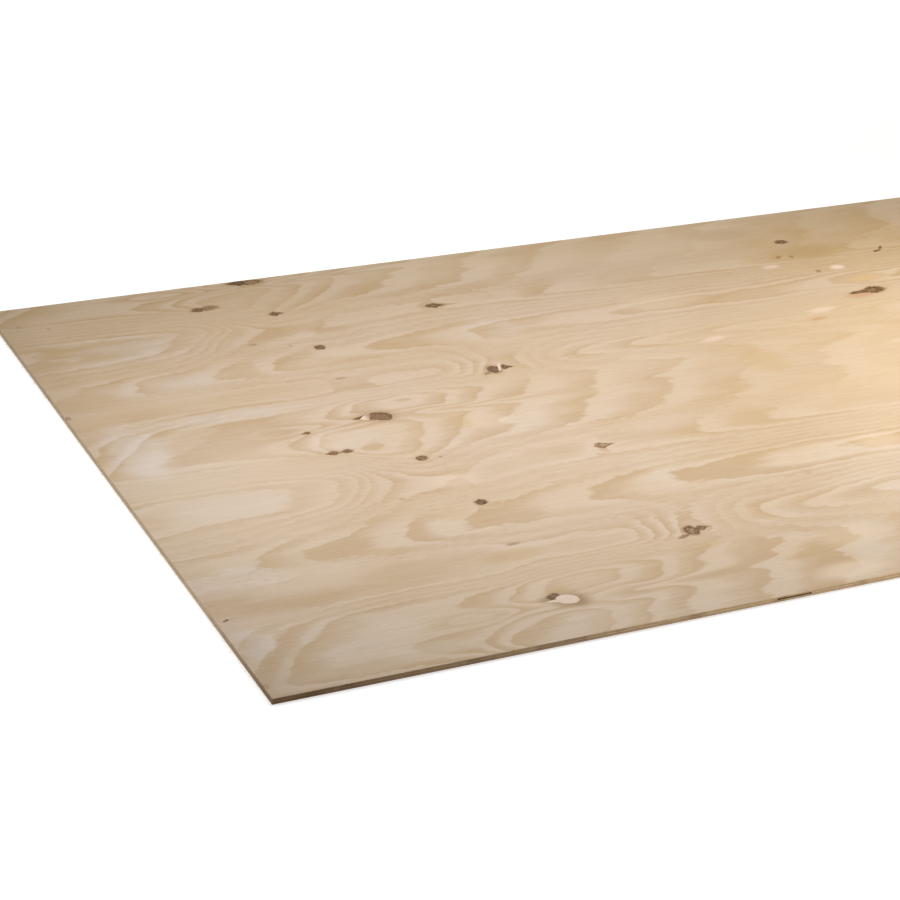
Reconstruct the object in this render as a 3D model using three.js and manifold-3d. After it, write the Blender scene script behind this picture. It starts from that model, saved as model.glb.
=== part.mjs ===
// A full sheet of thin softwood plywood, lying flat.
//
// Five peeled veneers are glued face to face. Each one lies with its grain square to the next: the
// two outer veneers and the core run along the sheet, and the two cross bands run across it. The
// outer veneer has two knotholes. One is open down to the cross band, with a broken chip of filler
// left in its tail, and the other holds a plug of filler. A knothole in the core was sawn through
// when the sheet was trimmed, so it shows as a gap in the front edge.
//
// Millimetres, +Z up. The origin is the middle of the underside. +X runs along the face grain.

import * as THREE from 'three';
import { mergeVertices } from 'three/addons/utils/BufferGeometryUtils.js';
import Module from 'manifold-3d';

const wasm = await Module();
wasm.setup();

// ---------------------------------------------------------------- driving dimensions

const SHEET_LENGTH = 2440;
const SHEET_WIDTH = 1220;

const FACE_THICKNESS = 1.6;
const CROSS_BAND_THICKNESS = 1.8;
const CORE_THICKNESS = 1.8;
const GLUE_LINE = 0.1;

// A knothole is an oval that runs out along the grain into a pointed tail, where the wood beside
// the knot tore away. Places are measured from the left end and the front edge of the sheet. A
// fullness of 2 is an ellipse, and a larger one fills out its corners. The waver is how far the
// torn rim strays from the smooth oval.
const OPEN_KNOTHOLE = {
  fromLeftEnd: 463,
  fromFrontEdge: 678,
  length: 38,
  breadth: 27,
  slant: -20,
  fullness: 2.8,
  waver: 0.45,
  tailReach: 47,
  tailBreadth: 20,
  tailSlant: -6,
};
const FILLED_KNOTHOLE = {
  fromLeftEnd: 479,
  fromFrontEdge: 93,
  length: 34,
  breadth: 25,
  slant: -13,
  fullness: 2.1,
  waver: 0.3,
  tailReach: 37,
  tailBreadth: 10,
  tailSlant: -3,
};

// The filler stands a hair clear of the wood all round, and has shrunk a little below the face.
const FILLER_CLEARANCE = 0.15;
const FILLER_SHRINKAGE = 0.15;

// The chip is what is left of an older filling. It ends at a break across the tail, and its far
// side split away along a slanting line, down to a tip that lies a little below the tail's middle.
const CHIP_BREAK_FROM_CENTRE = 17;
const CHIP_BREAK_SLANT = 22;
const CHIP_TIP_LOST = 13;
const CHIP_TIP_BELOW_MIDDLE = 2;

// The core's knothole is centred on the saw cut, so that half of its breadth is left in the sheet.
const CORE_KNOTHOLE = {
  fromLeftEnd: 792,
  length: 58,
  breadth: 26,
  fullness: 2.3,
  waver: 0.8,
};

// ---------------------------------------------------------------- how round shapes are cut

const CURVE_STEPS = 20;
const RIM_STEPS = 72;
const CUT_OVERRUN = 1;

// The waver of a torn rim: how many waves go round it, how high they stand, and where they start.
const RIM_WAVES = [
  { count: 5, height: 0.5, start: 0.4 },
  { count: 9, height: 0.3, start: 2.1 },
  { count: 14, height: 0.2, start: 4.4 },
];

// ---------------------------------------------------------------- materials

function wood(colour) {
  return new THREE.MeshStandardMaterial({ color: colour, roughness: 0.8, metalness: 0 });
}

const faceWood = wood(0xd0b899);
const crossBandWood = wood(0x9c8060);
const coreWood = wood(0xb2956f);
const filler = new THREE.MeshStandardMaterial({ color: 0xdccab2, roughness: 0.9, metalness: 0 });

// ---------------------------------------------------------------- solids

/** Turns a closed three.js geometry into a manifold solid, so that it can be joined or cut. */
function toSolid(geometry) {
  const positions = geometry.clone();
  positions.deleteAttribute('normal');
  positions.deleteAttribute('uv');
  const merged = mergeVertices(positions);
  return new wasm.Manifold(new wasm.Mesh({
    numProp: 3,
    vertProperties: new Float32Array(merged.attributes.position.array),
    triVerts: new Uint32Array(merged.index.array),
  }));
}

/** Turns a manifold solid back into a three.js geometry with flat shading. */
function toGeometry(solid) {
  const mesh = solid.getMesh();
  const geometry = new THREE.BufferGeometry();
  geometry.setAttribute('position', new THREE.BufferAttribute(mesh.vertProperties, 3));
  geometry.setIndex(new THREE.BufferAttribute(mesh.triVerts, 1));
  const faceted = geometry.toNonIndexed();
  faceted.computeVertexNormals();
  return faceted;
}

/** Stands an outline up between two levels. */
function prism(outline, bottom, top) {
  const geometry = new THREE.ExtrudeGeometry(outline, {
    depth: top - bottom,
    bevelEnabled: false,
    curveSegments: CURVE_STEPS,
  });
  return geometry.translate(0, 0, bottom);
}

/** The rectangle that every veneer is trimmed to. */
function sheetOutline() {
  const x = SHEET_LENGTH / 2;
  const y = SHEET_WIDTH / 2;
  return new THREE.Shape([
    new THREE.Vector2(-x, -y),
    new THREE.Vector2(x, -y),
    new THREE.Vector2(x, y),
    new THREE.Vector2(-x, y),
  ]);
}

/** Puts a geometry drawn about a knot's centre at the knot's own place on the sheet. */
function atKnot(geometry, knot, slant) {
  geometry.rotateZ(THREE.MathUtils.degToRad(slant));
  geometry.translate(
    knot.fromLeftEnd - SHEET_LENGTH / 2,
    (knot.fromFrontEdge ?? 0) - SHEET_WIDTH / 2,
    0,
  );
  return geometry;
}

/** The rim of a knothole about the origin: a full oval that wavers a little, less the inset. */
class KnotholeRim extends THREE.Curve {
  constructor(knot, inset) {
    super();
    this.knot = knot;
    this.inset = inset;
  }

  getPoint(share, target = new THREE.Vector2()) {
    const { length, breadth, fullness, waver } = this.knot;
    const angle = 2 * Math.PI * share;
    const strays = RIM_WAVES.map((wave) => wave.height * Math.sin(wave.count * angle + wave.start));
    const out = waver * strays.reduce((sum, stray) => sum + stray, 0) - this.inset;
    const along = Math.cos(angle);
    const across = Math.sin(angle);
    return target.set(
      Math.sign(along) * Math.abs(along) ** (2 / fullness) * (length / 2 + out),
      Math.sign(across) * Math.abs(across) ** (2 / fullness) * (breadth / 2 + out),
    );
  }
}

/** The outline inside a knothole's rim. */
function rimOutline(knot, inset) {
  return new THREE.Shape(new KnotholeRim(knot, inset).getPoints(RIM_STEPS).slice(0, -1));
}

/** The torn tail: a leaf that starts at the knot's middle and comes to a point down the grain. */
function tailOutline(reach, breadth, inset) {
  const tip = -(reach - 2 * inset);
  const half = breadth / 2 - inset;
  const outline = new THREE.Shape();
  outline.moveTo(0, half);
  outline.quadraticCurveTo(tip / 2, half, tip, 0);
  outline.quadraticCurveTo(tip / 2, -half, 0, -half);
  outline.closePath();
  return outline;
}

/** The space inside a knothole between two levels, smaller all round by the inset. */
function knotholeSpace(knot, inset, bottom, top) {
  const oval = prism(rimOutline(knot, inset), bottom, top);
  const tail = prism(tailOutline(knot.tailReach, knot.tailBreadth, inset), bottom, top);
  return toSolid(atKnot(oval, knot, knot.slant)).add(toSolid(atKnot(tail, knot, knot.tailSlant)));
}

// ---------------------------------------------------------------- the stack of veneers

/** Works out the levels of the veneers from the underside up, with a glue line between them. */
function stackLevels(thicknesses) {
  let level = 0;
  return thicknesses.map((thickness) => {
    const bottom = level;
    const top = bottom + thickness;
    level = top + GLUE_LINE;
    return { bottom, top };
  });
}

const [back, lowerCrossBand, core, upperCrossBand, face] = stackLevels([
  FACE_THICKNESS,
  CROSS_BAND_THICKNESS,
  CORE_THICKNESS,
  CROSS_BAND_THICKNESS,
  FACE_THICKNESS,
]);

/** A veneer with nothing cut in it. */
function plainVeneer(level) {
  return prism(sheetOutline(), level.bottom, level.top);
}

/** The outer veneer, with both knotholes cut right through it. */
function faceVeneer() {
  const bottom = face.bottom - CUT_OVERRUN;
  const top = face.top + CUT_OVERRUN;
  const veneer = toSolid(plainVeneer(face))
    .subtract(knotholeSpace(OPEN_KNOTHOLE, 0, bottom, top))
    .subtract(knotholeSpace(FILLED_KNOTHOLE, 0, bottom, top));
  return toGeometry(veneer);
}

/** The core, with half a knothole open to the front edge. */
function coreVeneer() {
  const outline = rimOutline(CORE_KNOTHOLE, 0);
  const space = prism(outline, core.bottom - CUT_OVERRUN, core.top + CUT_OVERRUN);
  return toGeometry(toSolid(plainVeneer(core)).subtract(toSolid(atKnot(space, CORE_KNOTHOLE, 0))));
}

// ---------------------------------------------------------------- the filler

/** The plug that fills its knothole and the tail beside it. */
function fillerPlug() {
  const top = face.top - FILLER_SHRINKAGE;
  return toGeometry(knotholeSpace(FILLED_KNOTHOLE, FILLER_CLEARANCE, face.bottom, top));
}

/** The chip in the open knothole's tail: what its break, its split and its lost tip have left. */
function fillerChip() {
  const top = face.top - FILLER_SHRINKAGE;
  const reach = OPEN_KNOTHOLE.tailReach;
  const left = CHIP_TIP_LOST - reach;
  const right = -CHIP_BREAK_FROM_CENTRE;
  const lean = OPEN_KNOTHOLE.breadth * Math.tan(THREE.MathUtils.degToRad(CHIP_BREAK_SLANT));
  const half = OPEN_KNOTHOLE.breadth;
  const keep = new THREE.Shape([
    new THREE.Vector2(left, -half),
    new THREE.Vector2(right - lean, -half),
    new THREE.Vector2(right + lean, half),
    new THREE.Vector2(left, -CHIP_TIP_BELOW_MIDDLE),
  ]);
  const keepSolid = prism(keep, face.bottom - CUT_OVERRUN, face.top + CUT_OVERRUN);
  const space = knotholeSpace(OPEN_KNOTHOLE, FILLER_CLEARANCE, face.bottom, top);
  const kept = toSolid(atKnot(keepSolid, OPEN_KNOTHOLE, OPEN_KNOTHOLE.tailSlant));
  return toGeometry(space.intersect(kept));
}

// ---------------------------------------------------------------- the finished sheet

const sheet = new THREE.Group();

function addPiece(name, geometry, material) {
  const mesh = new THREE.Mesh(geometry, material);
  mesh.name = name;
  sheet.add(mesh);
}

addPiece('back_veneer', plainVeneer(back), faceWood);
addPiece('lower_cross_band', plainVeneer(lowerCrossBand), crossBandWood);
addPiece('core_veneer', coreVeneer(), coreWood);
addPiece('upper_cross_band', plainVeneer(upperCrossBand), crossBandWood);
addPiece('face_veneer', faceVeneer(), faceWood);
addPiece('filler_plug', fillerPlug(), filler);
addPiece('filler_chip', fillerChip(), filler);

export default sheet;
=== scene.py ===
"""Dresses and lights a full sheet of softwood plywood that lies face up on a pale floor.

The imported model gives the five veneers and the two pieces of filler, and they keep their shapes.
This script gives each one its finish, adds the torn wood fibres that a saw leaves along the
edges, and sets up the floor, the lamps and the camera.

Figure of the face: the veneer was peeled off a turning log, so every place on it has a turn of
the log and a place down the trunk. The growth rings that the knife met there are worked out from
those two, and the colour of the wood follows from the ring.

Places on the sheet are in millimetres from its left end, its front edge and its underside.
"""

import logging
import math
from dataclasses import dataclass, field
from enum import Enum
from functools import partial

import bmesh
import bpy
from bpy.types import Material, Mesh, NodeOutputs, NodeSocket, NodeTree, Object
from mathutils import Matrix, Vector


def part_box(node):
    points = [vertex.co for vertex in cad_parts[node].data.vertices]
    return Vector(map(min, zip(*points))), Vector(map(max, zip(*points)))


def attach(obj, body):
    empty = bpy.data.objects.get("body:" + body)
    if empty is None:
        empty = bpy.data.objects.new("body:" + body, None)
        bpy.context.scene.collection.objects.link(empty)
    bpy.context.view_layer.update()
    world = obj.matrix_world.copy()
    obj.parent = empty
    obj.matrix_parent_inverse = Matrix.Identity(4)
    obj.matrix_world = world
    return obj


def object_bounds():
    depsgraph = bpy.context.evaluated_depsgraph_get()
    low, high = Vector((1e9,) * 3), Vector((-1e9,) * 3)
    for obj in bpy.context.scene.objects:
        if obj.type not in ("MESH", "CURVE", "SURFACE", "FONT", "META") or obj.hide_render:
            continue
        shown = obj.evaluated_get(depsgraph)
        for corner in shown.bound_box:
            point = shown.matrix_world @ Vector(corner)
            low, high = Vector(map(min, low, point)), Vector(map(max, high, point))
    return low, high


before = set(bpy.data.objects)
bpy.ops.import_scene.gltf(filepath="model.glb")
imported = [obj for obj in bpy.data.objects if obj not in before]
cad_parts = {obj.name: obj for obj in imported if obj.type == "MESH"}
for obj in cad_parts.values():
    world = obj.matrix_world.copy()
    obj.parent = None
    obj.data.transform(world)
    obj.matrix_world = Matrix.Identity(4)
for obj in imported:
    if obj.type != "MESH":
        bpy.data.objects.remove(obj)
CAD_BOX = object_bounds()

log = logging.getLogger("plywood")

MM = 0.001
LENGTH_MM, WIDTH_MM, _ = ((high - low) / MM for low, high in zip(*CAD_BOX))

# A low and a high value, or a value in one state and in the other.
Pair = tuple[float, float]
# A place, or how long, broad and thick one blotch of a random pattern is.
Triple = tuple[float, float, float]


# ---------------------------------------------------------------- nodes and colours

# The sums that a node does with numbers, and those that it does with places.
Sum = Enum(
    "Sum",
    "ADD SUBTRACT MULTIPLY DIVIDE MULTIPLY_ADD FRACT EXPONENT POWER"
    " MAXIMUM MINIMUM ABSOLUTE SIGN GREATER_THAN",
)
Vec = Enum("Vec", "ADD SUBTRACT MULTIPLY DIVIDE MULTIPLY_ADD ABSOLUTE SCALE LENGTH DOT_PRODUCT")
SUM_NODES = {Sum: "ShaderNodeMath", Vec: "ShaderNodeVectorMath"}

RANGE = "ShaderNodeMapRange"
MIX = "ShaderNodeMix"
SPLIT = "ShaderNodeSeparateXYZ"
JOIN = "ShaderNodeCombineXYZ"
GROUP = "ShaderNodeGroup"
ATTRIBUTE = "GeometryNodeInputNamedAttribute"

SMOOTH = {"interpolation_type": "SMOOTHSTEP", "clamp": False}
BLEND = {"data_type": "RGBA"}
SHADE = {"data_type": "RGBA", "blend_type": "MULTIPLY"}

WHITE = "#ffffff"


def linear(colour: str) -> tuple[float, float, float, float]:
    """Turns an sRGB hex colour into linear light.

    Args:
        colour: six hex digits after a hash.

    Returns:
        Red, green, blue and full cover.
    """
    parts = [int(colour[i : i + 2], 16) / 255 for i in (1, 3, 5)]
    light = [p / 12.92 if p <= 0.04045 else ((p + 0.055) / 1.055) ** 2.4 for p in parts]
    return (light[0], light[1], light[2], 1.0)


def add(tree: NodeTree, kind: str | Enum, *inputs, out: int | str = 0, **settings) -> NodeSocket:
    """Adds one node, with its settings and its links.

    Args:
        tree: the tree that gets the node.
        kind: the type name of the node, or the sum that it does.
        *inputs: for each input in turn a value, a hex colour, a socket to link, or None.
        out: the output that is wanted, by number or by name.
        **settings: the node's own properties.

    Returns:
        The output socket that was asked for.
    """
    if isinstance(kind, Enum):
        settings["operation"] = kind.name
        kind = SUM_NODES[type(kind)]
    node = tree.nodes.new(kind)
    for name, value in settings.items():
        setattr(node, name, value)
    for socket, value in zip([s for s in node.inputs if s.enabled], inputs):
        if isinstance(value, NodeSocket):
            tree.links.new(value, socket)
        elif value is not None:
            is_colour = isinstance(value, str) and value.startswith("#")
            socket.default_value = linear(value) if is_colour else value
    if isinstance(out, str):
        return node.outputs[out]
    return [s for s in node.outputs if s.enabled][out]


def new_group(
    name: str, inputs: dict[str, str], outputs: dict[str, str]
) -> tuple[NodeTree, dict[str, NodeSocket]]:
    """Starts a shader group.

    Args:
        name: what the group is called.
        inputs: the type of each input, Float or Vector, by name.
        outputs: the type of each output, by name.

    Returns:
        The group and its input sockets by name.
    """
    tree = bpy.data.node_groups.new(name, "ShaderNodeTree")
    for label, kind in inputs.items():
        tree.interface.new_socket(label, in_out="INPUT", socket_type=f"NodeSocket{kind}")
    for label, kind in outputs.items():
        tree.interface.new_socket(label, in_out="OUTPUT", socket_type=f"NodeSocket{kind}")
    entry = tree.nodes.new("NodeGroupInput")
    return tree, {label: entry.outputs[label] for label in inputs}


def close_group(tree: NodeTree, results: dict[str, NodeSocket]) -> NodeTree:
    """Links a group's results to its outputs.

    Args:
        tree: the group.
        results: the socket for each output, by name.

    Returns:
        The group.
    """
    leave = tree.nodes.new("NodeGroupOutput")
    for label, socket in results.items():
        tree.links.new(socket, leave.inputs[label])
    return tree


def mottle_group() -> NodeTree:
    """Builds the group that all the random patterns come from.

    Returns:
        The group.
    """
    tree, entry = new_group(
        "mottle",
        {"Place": "Vector", "Cell": "Vector", "Detail": "Float"},
        {"Value": "Float", "Push": "Vector"},
    )
    scaled = add(tree, Vec.DIVIDE, entry["Place"], entry["Cell"])
    value = add(tree, "ShaderNodeTexNoise", scaled, 1.0, entry["Detail"])
    three = value.node.outputs["Color"]
    push = add(tree, Vec.SUBTRACT, three, (0.5, 0.5, 0.5))
    return close_group(tree, {"Value": value, "Push": push})


def mottle(
    tree: NodeTree, place: NodeSocket, cell: Triple, detail: float = 0.0, out: str = "Value"
) -> NodeSocket:
    """Gives a smooth random pattern.

    Args:
        tree: the tree that gets the pattern.
        place: the place, in millimetres.
        cell: the size of one blotch, in millimetres.
        detail: how many finer patterns lie on top of it.
        out: Value for a pattern about 0.5, or Push for a vector about 0.

    Returns:
        The pattern.
    """
    group = bpy.data.node_groups.get("mottle") or mottle_group()
    return add(tree, GROUP, place, cell, detail, node_tree=group, out=out)


@dataclass(frozen=True)
class Oval:
    """An oval on the face: its middle, its length and breadth in millimetres, and its slant."""

    x: float
    y: float
    length: float
    breadth: float
    slant: float = field(default=0.0, kw_only=True)

    def ways(self, tree: NodeTree, spot: NodeSocket) -> tuple[NodeSocket, NodeSocket]:
        """Measures a place along and across the oval.

        Args:
            tree: the tree that gets the nodes.
            spot: the place in millimetres, with 1 for its height.

        Returns:
            The way along and the way across, both 1 at the oval's rim.
        """
        turn = math.radians(self.slant)
        axes = ((math.cos(turn), math.sin(turn)), (-math.sin(turn), math.cos(turn)))
        measured = []
        for (x, y), full in zip(axes, (self.length, self.breadth)):
            half = full / 2
            weights = (x / half, y / half, -(x * self.x + y * self.y) / half)
            measured.append(add(tree, Vec.DOT_PRODUCT, spot, weights))
        return measured[0], measured[1]

    def reach(self, tree: NodeTree, spot: NodeSocket) -> NodeSocket:
        """Says how far out in the oval a place lies, 1 at its rim."""
        return add(tree, Vec.LENGTH, add(tree, JOIN, *self.ways(tree, spot)))


# ---------------------------------------------------------------- the log and its knots


@dataclass(frozen=True)
class Run:
    """One straight line down the trunk, and the rings that the knife met along it.

    Turns are revolutions of the log, and places are millimetres from the sheet's left end.
    """

    turn: float
    lean: float
    rings: tuple[Pair, ...]


@dataclass(frozen=True)
class Knot(Oval):
    """One knot.

    It is dark at its rim and lighter at its heart. The rings dip round it, resin stains the wood
    beside it, and a tail is drawn out from it to the right, or to the left where it is negative.
    """

    dark: float = 1.0
    heart: float = 0.25
    dip: float = 0.0
    tail: float = 0.0
    halo: float = 0.25

    def drawn_out(
        self, tree: NodeTree, u: NodeSocket, v: NodeSocket
    ) -> tuple[NodeSocket, NodeSocket, NodeSocket]:
        """Draws one side of the knot out into a thin tail that fades.

        Args:
            tree: the group.
            u: the way along the knot, 1 at its rim.
            v: the way across it.

        Returns:
            The two ways after the tail has been drawn out, and how strong the tail still is.
        """
        side = math.copysign(1.0, self.tail)
        stretch = 1.0 / (1.0 + abs(self.tail) / (self.length / 2))
        out = add(tree, Sum.MULTIPLY, u, side)
        out = add(tree, Sum.MAXIMUM, out, 0.0)
        squeeze = add(tree, Sum.MULTIPLY_ADD, out, 1.6, 1.0)
        slim = add(tree, Sum.MULTIPLY, v, squeeze)
        short = add(tree, Sum.MULTIPLY_ADD, out, side * (stretch - 1.0), u)
        return short, slim, add(tree, RANGE, out, 0.6, 1.0 / stretch, 1.0, 0.15, **SMOOTH)


# The valley that the knife cut deepest into the trunk's narrow side. Long flames lie along it.
DEEP_VALLEY = Run(
    turn=0.583,
    lean=0.0,
    rings=(
        (-60, 8.1), (0, 7.5), (60, 7.25), (107, 7.0), (150, 6.5), (188, 6.0), (260, 5.75),
        (305, 5.3), (348, 5.0), (385, 4.4), (427, 4.0), (500, 3.75), (560, 3.45), (600, 3.2),
        (650, 3.0), (700, 2.7), (750, 2.35), (797, 2.0), (870, 1.72), (950, 1.42), (1107, 1.0),
        (1250, 0.65), (1400, 0.4), (1510, 0.0), (1700, -1.0), (2000, -2.2), (2440, -4.0),
    ),
)

# The ridge beyond it.
FAR_RIDGE = Run(
    turn=0.8065,
    lean=0.6,
    rings=(
        (-60, 11.0), (0, 11.4), (60, 11.25), (150, 11.15), (200, 11.0), (225, 10.85),
        (255, 10.4), (285, 9.9), (310, 9.1), (330, 8.2), (355, 7.2), (375, 6.9), (400, 6.4),
        (430, 6.2), (460, 6.1), (500, 5.9), (530, 6.35), (560, 6.5), (650, 6.6), (720, 6.7),
        (800, 6.7), (900, 6.8), (960, 7.3), (1040, 7.8), (1140, 8.2), (1300, 8.7), (1450, 9.4),
        (1600, 10.2), (2000, 12.0), (2440, 13.0),
    ),
)

# The broad side of the trunk, where the rings were cut in slanting bands.
BROAD_SIDE = Run(
    turn=0.14,
    lean=1.0,
    rings=(
        (-60, 5.9), (0, 4.9), (15, 4.75), (48, 4.0), (95, 3.45), (140, 3.2), (235, 3.03),
        (300, 2.6), (343, 2.0), (390, 1.0), (430, 0.7), (480, 0.35), (515, 0.55), (548, 1.0),
        (618, 2.0), (692, 3.0), (824, 4.0), (957, 5.0), (1102, 5.9), (1235, 6.7), (1350, 7.3),
        (1450, 7.9), (1600, 8.6), (1750, 9.4), (1950, 10.5), (2440, 14.0),
    ),
)

# The ridge between the broad side and the next turn's valley, notched where a knot grew.
NEAR_RIDGE = Run(
    turn=0.356,
    lean=0.3,
    rings=(
        (-60, 6.9), (0, 6.8), (80, 6.85), (200, 6.65), (400, 6.55), (480, 6.2), (560, 6.5),
        (640, 6.4), (665, 5.9), (690, 5.0), (715, 4.2), (735, 3.6), (752, 3.2), (785, 3.4),
        (825, 4.7), (865, 5.7), (910, 6.4), (980, 7.1), (1060, 7.7), (1150, 8.2), (1300, 8.9),
        (1450, 9.5), (1600, 10.3), (2000, 12.0), (2440, 13.0),
    ),
)

KNOTS = (
    Knot(437, 1212, 34, 20, heart=0.2, dip=0.5, tail=-8, halo=0.5),
    Knot(461, 1209, 42, 18, dark=0.75, heart=0.35, dip=0.3, halo=0.5),
    Knot(334, 1129, 26, 15, slant=8, dark=0.75, heart=0.1, dip=0.6, halo=0.4),
    Knot(355, 1131, 32, 17, slant=6, dark=0.5, heart=0.0),
    Knot(453, 1077, 23, 15, dark=0.85, heart=0.15, dip=0.8, tail=6, halo=0.5),
    Knot(727, 1029, 32, 18, slant=-4, dark=0.9, dip=0.9, tail=9, halo=0.5),
    Knot(472, 935, 19, 16, dark=0.9, dip=0.8),
    Knot(371, 976, 13, 8, dark=0.25, heart=0.0),
    Knot(429, 955, 5, 8, dark=0.15, heart=0.0),
    Knot(459, 820, 18, 7, dark=0.25, heart=0.0, dip=0.4),
    Knot(711, 774, 23, 26, heart=0.4, dip=1.2, halo=0.7),
    Knot(695, 764, 16, 8, slant=20, dark=0.45, heart=0.0),
    Knot(733, 777, 18, 17, slant=-10, dark=0.9, heart=0.1, tail=10),
    Knot(331, 661, 14, 8, slant=10, dark=0.9, dip=0.4, tail=-6),
    Knot(342, 588, 20, 13, dark=0.75, heart=0.05, dip=0.6, tail=-4),
    Knot(367, 588, 18, 12, dark=0.7, heart=0.0),
    Knot(354, 587, 26, 5, dark=0.45, heart=0.0),
    Knot(465, 532, 19, 15, dark=0.85, dip=0.7, halo=0.4),
    Knot(494, 527, 6, 5, dark=0.35, heart=0.0),
    Knot(752, 483, 27, 17, dark=0.75, heart=0.45, dip=0.9, tail=12),
    Knot(489, 380, 19, 16, dark=0.95, heart=0.1, dip=0.8),
    Knot(382, 425, 9, 7, dark=0.2, heart=0.0),
    Knot(477, 254, 22, 7, slant=6, dark=0.28, heart=0.0, dip=0.4),
    Knot(745, 204, 24, 26, slant=10, dark=0.95, heart=0.5, dip=1.0, halo=0.6),
    Knot(764, 207, 18, 14, dark=0.85, dip=0.4, tail=6, halo=0.6),
    Knot(726, 193, 24, 8, slant=18, dark=0.5, heart=0.0),
    Knot(463, 105, 21, 15, slant=20, dark=0.95, heart=0.2),
    Knot(479, 92, 46, 34, slant=-13, dark=0.15, heart=0.0, halo=0.8),
    Knot(458, 679, 60, 33, slant=-10, dark=0.2, heart=0.0, halo=0.6),
    Knot(1472, 1095, 24, 17, dark=0.9, dip=1.2, halo=0.4),
    Knot(1428, 1035, 13, 7, slant=15, dark=0.5, heart=0.1),
    Knot(1453, 1030, 8, 12, dark=0.35, heart=0.0),
    Knot(1465, 960, 10, 10, slant=-20, dark=0.45, heart=0.0),
    Knot(1627, 1008, 19, 7, slant=15, dark=0.7, heart=0.0, dip=0.4),
    Knot(1641, 1018, 18, 6, slant=50, dark=0.6, heart=0.0, dip=0.2),
    Knot(1512, 859, 54, 25, slant=4, heart=0.4, dip=1.4, tail=-10, halo=0.7),
    Knot(1486, 858, 44, 10, slant=4, dark=0.85, heart=0.1, halo=0.4),
    Knot(14, 195, 10, 4, slant=25, dark=0.75, heart=0.0),
    Knot(3, 818, 10, 10, dark=0.5),
    Knot(3, 29, 9, 9, dark=0.35),
    Knot(30, 1150, 7, 5, dark=0.22, heart=0.0),
    Knot(75, 1130, 6, 5, dark=0.2, heart=0.0),
    Knot(95, 1090, 6, 5, dark=0.18, heart=0.0),
    Knot(1495, 551, 20, 15, dark=0.85, dip=0.9, halo=0.5),
    Knot(1525, 297, 28, 18, slant=8, dark=0.95, heart=0.4, dip=1.1, tail=16, halo=0.6),
    Knot(1650, 455, 16, 12, dark=0.85, dip=0.6),
    Knot(1740, 700, 24, 17, dark=0.9, heart=0.35, dip=0.9, halo=0.5),
    Knot(1985, 140, 38, 22, slant=-6, heart=0.45, dip=1.3, tail=-20, halo=0.7),
    Knot(1960, 700, 18, 15, dark=0.85, dip=0.8),
    Knot(2010, 420, 22, 15, dark=0.9, heart=0.3, dip=0.9, tail=16),
    Knot(2240, 300, 15, 10, dark=0.8, dip=0.5),
    Knot(2255, 860, 31, 20, slant=12, dark=0.95, heart=0.4, dip=1.1, halo=0.6),
    Knot(1990, 1120, 20, 14, dark=0.85, dip=0.8),
    # These lie just under the surface, so they bend the rings and do not show.
    Knot(1240, 925, 250, 56, dark=0.0, dip=-0.3),
    Knot(150, 680, 190, 80, dark=0.0, dip=-0.15),
)


@dataclass(frozen=True)
class Seam:
    """A narrow seam down the broad side, where the rings stand higher.

    It opens out and closes again along the sheet, and further on it sinks. Its centre has a
    share of a turn away from the left part of the sheet and one in it, and its width and height
    have a value where it is narrow and one where it is open.
    """

    centre: Pair = (0.548, 0.605)
    width: Pair = (0.014, 0.032)
    height: Pair = (1.25, 1.62)
    opens: Pair = (200.0, 330.0)
    shuts: Pair = (540.0, 640.0)
    starts: Pair = (230.0, 330.0)
    sinks: Pair = (560.0, 860.0)
    sunk: float = 0.14

    def raised(
        self, tree: NodeTree, ring: NodeSocket, along: NodeSocket, phase: NodeSocket, left: NodeSocket
    ) -> NodeSocket:
        """Raises the rings in the seam.

        Args:
            tree: the group.
            ring: the ring so far.
            along: the place along the sheet.
            phase: the share of a turn since the deep valley.
            left: how far the place is into the left part of the sheet.

        Returns:
            The ring with the seam.
        """
        centre = add(tree, MIX, left, *self.centre)
        opens = add(tree, RANGE, along, *self.opens, **SMOOTH)
        shuts = add(tree, RANGE, along, *self.shuts, 1.0, 0.0, **SMOOTH)
        broad = add(tree, Sum.MULTIPLY, opens, shuts)
        width = add(tree, MIX, broad, *self.width)
        height = add(tree, MIX, broad, *self.height)
        away = add(tree, Sum.SUBTRACT, phase, centre)
        away = add(tree, Sum.DIVIDE, away, width)
        away = add(tree, Sum.MULTIPLY, away, away)
        away = add(tree, Sum.MULTIPLY, away, -1.0)
        bell = add(tree, Sum.EXPONENT, away)
        starts = add(tree, RANGE, along, *self.starts, **SMOOTH)
        ends = add(tree, RANGE, along, *self.sinks, 1.0, self.sunk, **SMOOTH)
        shown = add(tree, Sum.MULTIPLY, starts, ends)
        raised = add(tree, Sum.MULTIPLY, bell, height)
        return add(tree, Sum.MULTIPLY_ADD, raised, shown, ring)


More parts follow.
